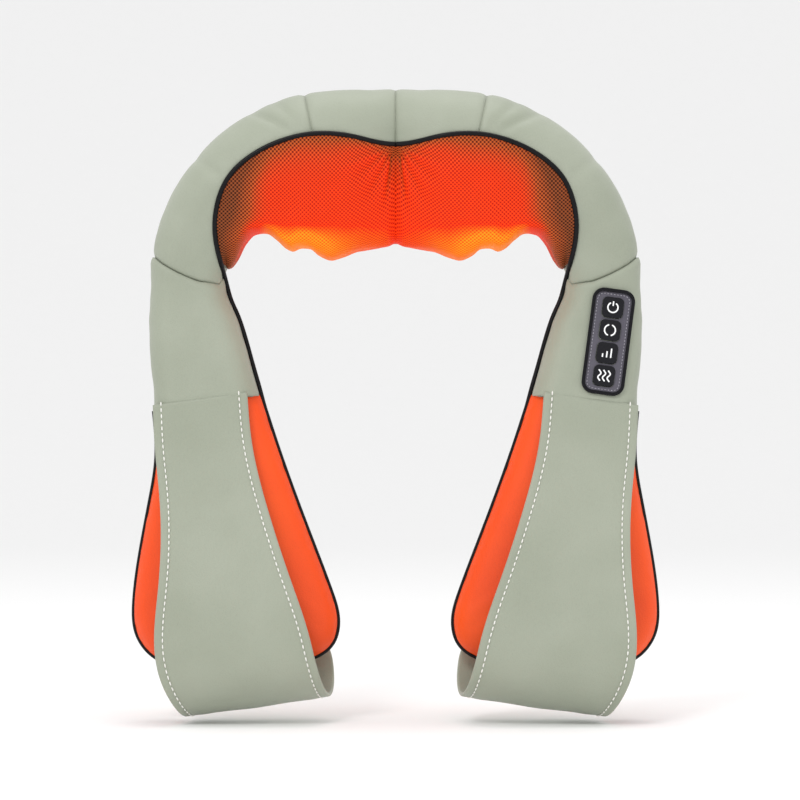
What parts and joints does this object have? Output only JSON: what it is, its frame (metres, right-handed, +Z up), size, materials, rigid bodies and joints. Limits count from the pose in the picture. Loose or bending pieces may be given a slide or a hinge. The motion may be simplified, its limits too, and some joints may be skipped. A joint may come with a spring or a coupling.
{
  "type": "neck massager",
  "caption": "Padded neck and shoulder massager shaped like an inverted U: mesh-covered kneading heads, flexing arms with orange pouches, looped hand straps and a keypad.",
  "frame": {"origin": "neck rest: the middle of the mesh cover's front face, in the dip between the two kneading heads", "axes": "+Z up as worn, +Y backwards away from the wearer's neck, +X to the right as seen from the front"},
  "size_m": [0.4098, 0.1516, 0.4848],
  "materials": {
    "sage_leather": "matte",
    "orange_leather": "matte",
    "orange_mesh": "matte",
    "black_piping": "satin",
    "foam": "matte",
    "case_plastic": "matte",
    "node_plastic": "gloss",
    "carrier_plastic": "matte",
    "wheel_nylon": "satin",
    "brass": "satin",
    "steel": "satin",
    "board_green": "satin",
    "component_black": "matte",
    "lamp_red": "gloss",
    "inlet_black": "satin",
    "lead_black": "matte",
    "panel_pad": "matte",
    "key_black": "satin"
  },
  "bodies": {
    "collar": {"cover_centre_left": "sage_leather", "cover_centre_right": "sage_leather", "cover_shoulder_left": "sage_leather", "cover_shoulder_right": "sage_leather", "mesh_cover": "orange_mesh", "collar_piping": "black_piping", "collar_foam": "foam", "housing_rear": "case_plastic", "housing_front": "case_plastic", "housing_screws": "steel", "motor": "steel", "bush_front": "brass", "bush_rear": "brass", "heater_board": "board_green", "heater_leds": "lamp_red", "control_board": "board_green", "board_components": "component_black", "dc_jack": "inlet_black", "dc_bezel": "inlet_black", "power_lead": "lead_black"},
    "worm_shaft": {"motor_shaft": "steel", "worm_left": "brass", "worm_right": "brass"},
    "kneader_left": {"spindle_left": "steel", "worm_wheel_left": "wheel_nylon", "carrier_left": "carrier_plastic"},
    "kneader_right": {"spindle_right": "steel", "worm_wheel_right": "wheel_nylon", "carrier_right": "carrier_plastic"},
    "massage_large_a_left": {"node_large_a_left": "node_plastic"},
    "massage_large_b_left": {"node_large_b_left": "node_plastic"},
    "massage_small_a_left": {"node_small_a_left": "node_plastic"},
    "massage_small_b_left": {"node_small_b_left": "node_plastic"},
    "massage_large_a_right": {"node_large_a_right": "node_plastic"},
    "massage_large_b_right": {"node_large_b_right": "node_plastic"},
    "massage_small_a_right": {"node_small_a_right": "node_plastic"},
    "massage_small_b_right": {"node_small_b_right": "node_plastic"},
    "arm_left": {"arm_cover_left": "sage_leather", "arm_foam_left": "foam", "arm_piping_left": "black_piping", "pouch_cover_left": "orange_leather", "pouch_foam_left": "foam", "hand_strap_left": "sage_leather"},
    "arm_right": {"arm_cover_right": "sage_leather", "arm_foam_right": "foam", "arm_piping_right": "black_piping", "pouch_cover_right": "orange_leather", "pouch_foam_right": "foam", "hand_strap_right": "sage_leather", "panel_tray": "case_plastic", "panel_pad": "panel_pad", "panel_rim": "inlet_black", "keypad_board": "board_green", "key_switches": "component_black"},
    "key_power": {"key_power": "key_black"},
    "key_direction": {"key_direction": "key_black"},
    "key_speed": {"key_speed": "key_black"},
    "key_heat": {"key_heat": "key_black"}
  },
  "joints": [
    {"name": "arm_left_flex", "type": "hinge", "parent": "collar", "child": "arm_left", "pos_m": [-0.16, 0.02, -0.058], "axis": [-1, 0, 0], "range_deg": [-10, 35], "stiffness_Nm_per_rad": 3},
    {"name": "arm_right_flex", "type": "hinge", "parent": "collar", "child": "arm_right", "pos_m": [0.16, 0.02, -0.058], "axis": [-1, 0, 0], "range_deg": [-10, 35], "stiffness_Nm_per_rad": 3},
    {"name": "knead_left", "type": "hinge", "parent": "collar", "child": "kneader_left", "pos_m": [-0.064, 0.04, 0], "axis": [0, 1, 0], "continuous": true},
    {"name": "knead_right", "type": "hinge", "parent": "collar", "child": "kneader_right", "pos_m": [0.064, 0.04, 0], "axis": [0, 1, 0], "continuous": true},
    {"name": "worm_spin", "type": "hinge", "parent": "collar", "child": "worm_shaft", "pos_m": [0, 0.044, 0.025], "axis": [1, 0, 0], "continuous": true},
    {"name": "massage_large_a_left_spin", "type": "hinge", "parent": "kneader_left", "child": "massage_large_a_left", "pos_m": [-0.08097, 0.01, 0.01697], "axis": [0, 1, 0], "continuous": true},
    {"name": "massage_large_b_left_spin", "type": "hinge", "parent": "kneader_left", "child": "massage_large_b_left", "pos_m": [-0.04703, 0.01, -0.01697], "axis": [0, 1, 0], "continuous": true},
    {"name": "massage_small_a_left_spin", "type": "hinge", "parent": "kneader_left", "child": "massage_small_a_left", "pos_m": [-0.08097, 0.01, -0.01697], "axis": [0, 1, 0], "continuous": true},
    {"name": "massage_small_b_left_spin", "type": "hinge", "parent": "kneader_left", "child": "massage_small_b_left", "pos_m": [-0.04703, 0.01, 0.01697], "axis": [0, 1, 0], "continuous": true},
    {"name": "massage_large_a_right_spin", "type": "hinge", "parent": "kneader_right", "child": "massage_large_a_right", "pos_m": [0.08097, 0.01, 0.01697], "axis": [0, 1, 0], "continuous": true},
    {"name": "massage_large_b_right_spin", "type": "hinge", "parent": "kneader_right", "child": "massage_large_b_right", "pos_m": [0.04703, 0.01, -0.01697], "axis": [0, 1, 0], "continuous": true},
    {"name": "massage_small_a_right_spin", "type": "hinge", "parent": "kneader_right", "child": "massage_small_a_right", "pos_m": [0.08097, 0.01, -0.01697], "axis": [0, 1, 0], "continuous": true},
    {"name": "massage_small_b_right_spin", "type": "hinge", "parent": "kneader_right", "child": "massage_small_b_right", "pos_m": [0.04703, 0.01, 0.01697], "axis": [0, 1, 0], "continuous": true},
    {"name": "key_power_press", "type": "slide", "parent": "arm_right", "child": "key_power", "axis": [-0.0225, 0.9869, -0.16], "range_m": [0, 0.0008], "stiffness_N_per_m": 900},
    {"name": "key_direction_press", "type": "slide", "parent": "arm_right", "child": "key_direction", "axis": [-0.0225, 0.9869, -0.16], "range_m": [0, 0.0008], "stiffness_N_per_m": 900},
    {"name": "key_speed_press", "type": "slide", "parent": "arm_right", "child": "key_speed", "axis": [-0.0225, 0.9869, -0.16], "range_m": [0, 0.0008], "stiffness_N_per_m": 900},
    {"name": "key_heat_press", "type": "slide", "parent": "arm_right", "child": "key_heat", "axis": [-0.0225, 0.9869, -0.16], "range_m": [0, 0.0008], "stiffness_N_per_m": 900}
  ],
  "couplings": [
    {"joint": "knead_right", "follows": "knead_left", "ratio": -1},
    {"joint": "worm_spin", "follows": "knead_left", "ratio": 40}
  ]
}
